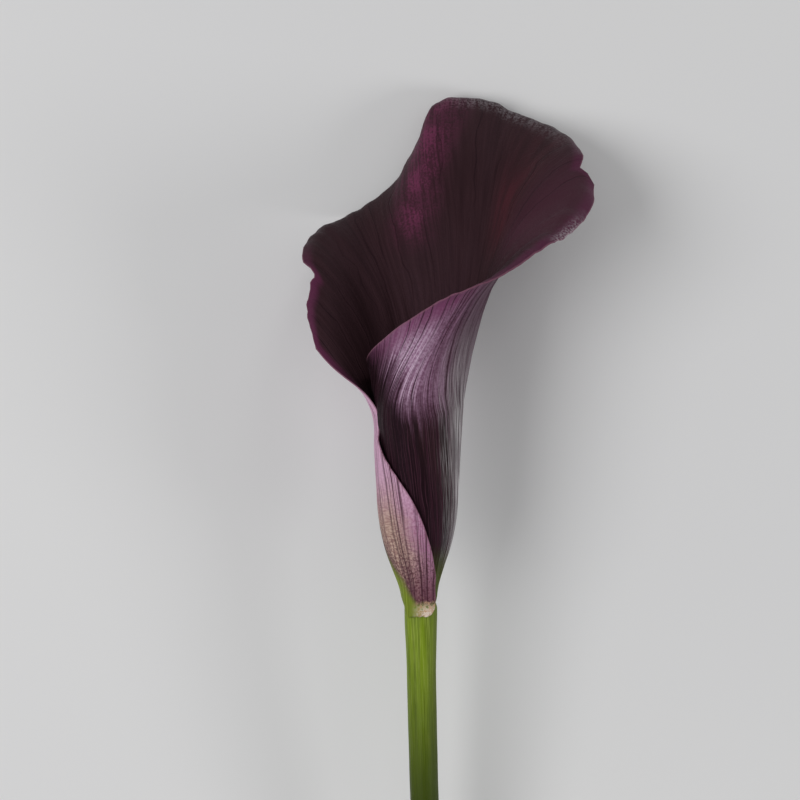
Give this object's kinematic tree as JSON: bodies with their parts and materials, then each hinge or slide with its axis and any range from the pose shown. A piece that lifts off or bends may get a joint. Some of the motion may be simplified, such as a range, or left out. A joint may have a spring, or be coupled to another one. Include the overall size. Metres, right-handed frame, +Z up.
{
  "type": "calla lily flower",
  "caption": "Picked calla lily lying on its back: dark purple funnel-shaped spathe wrapped round a spadix on a green stem.",
  "frame": {"origin": "the middle of the flower's bounding box, on the surface that it lies on", "axes": "+Y along the flower from the stem's cut end to the tip of the spathe, +Z up out of the open side of the funnel, +X to the right seen from above with the tip away"},
  "size_m": [0.0704, 0.2756, 0.0485],
  "materials": {
    "stem": "satin",
    "spathe": "satin",
    "spadix": "matte"
  },
  "bodies": {
    "root": {"stem": "stem", "spathe": "spathe", "spadix": "spadix"}
  },
  "joints": []
}
